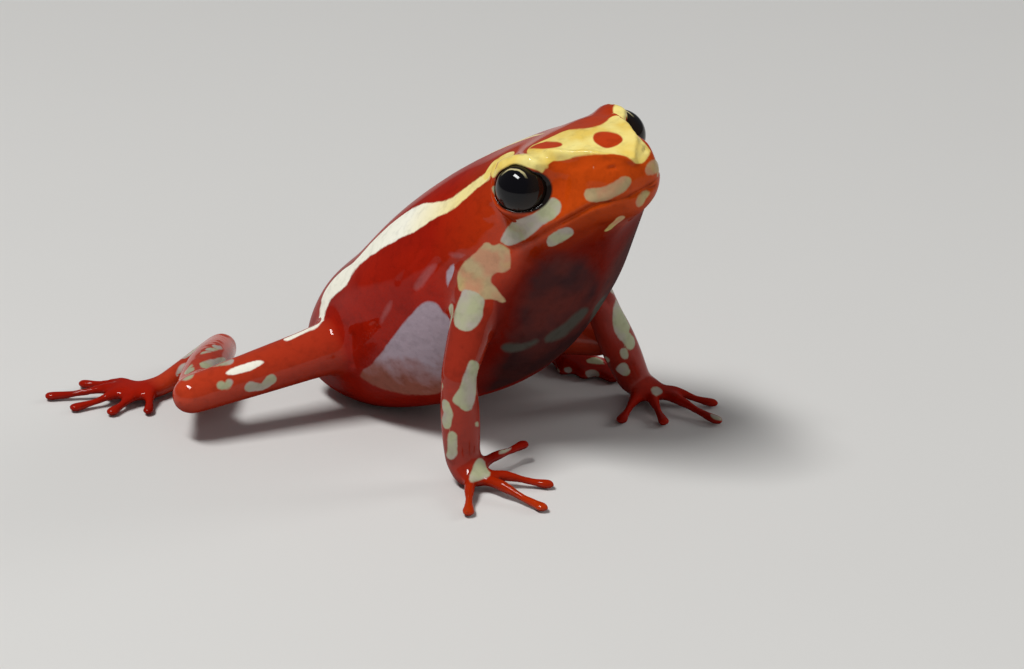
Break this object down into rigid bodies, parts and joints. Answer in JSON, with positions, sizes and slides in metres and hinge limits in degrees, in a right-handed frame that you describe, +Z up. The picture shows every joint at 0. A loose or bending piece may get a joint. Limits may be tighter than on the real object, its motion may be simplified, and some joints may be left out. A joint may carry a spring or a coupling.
{
  "type": "poison dart frog model",
  "caption": "Life-size museum-type model of a small poison dart frog that sits high on straight arms with its snout raised, one hind leg stretched back and the other folded.",
  "frame": {"origin": "middle of the bottom of the frog's box, on the floor it sits on", "axes": "+X the way the body faces, which is also the longest extent, +Y to the frog's left, +Z up"},
  "size_m": [0.0314, 0.0212, 0.0179],
  "materials": {
    "torso": "moist skin",
    "head": "moist skin",
    "eye_left": "wet gloss",
    "eye_right": "wet gloss",
    "upper_arm_left": "moist skin",
    "forearm_left": "moist skin",
    "hand_left": "moist skin",
    "thigh_left": "moist skin",
    "shank_left": "moist skin",
    "tarsus_left": "moist skin",
    "foot_left": "moist skin",
    "upper_arm_right": "moist skin",
    "forearm_right": "moist skin",
    "hand_right": "moist skin",
    "thigh_right": "moist skin",
    "shank_right": "moist skin",
    "tarsus_right": "moist skin",
    "foot_right": "moist skin"
  },
  "bodies": {
    "root": {"torso": "torso", "head": "head", "eye_left": "eye_left", "eye_right": "eye_right", "upper_arm_left": "upper_arm_left", "forearm_left": "forearm_left", "hand_left": "hand_left", "thigh_left": "thigh_left", "shank_left": "shank_left", "tarsus_left": "tarsus_left", "foot_left": "foot_left", "upper_arm_right": "upper_arm_right", "forearm_right": "forearm_right", "hand_right": "hand_right", "thigh_right": "thigh_right", "shank_right": "shank_right", "tarsus_right": "tarsus_right", "foot_right": "foot_right"}
  },
  "joints": []
}
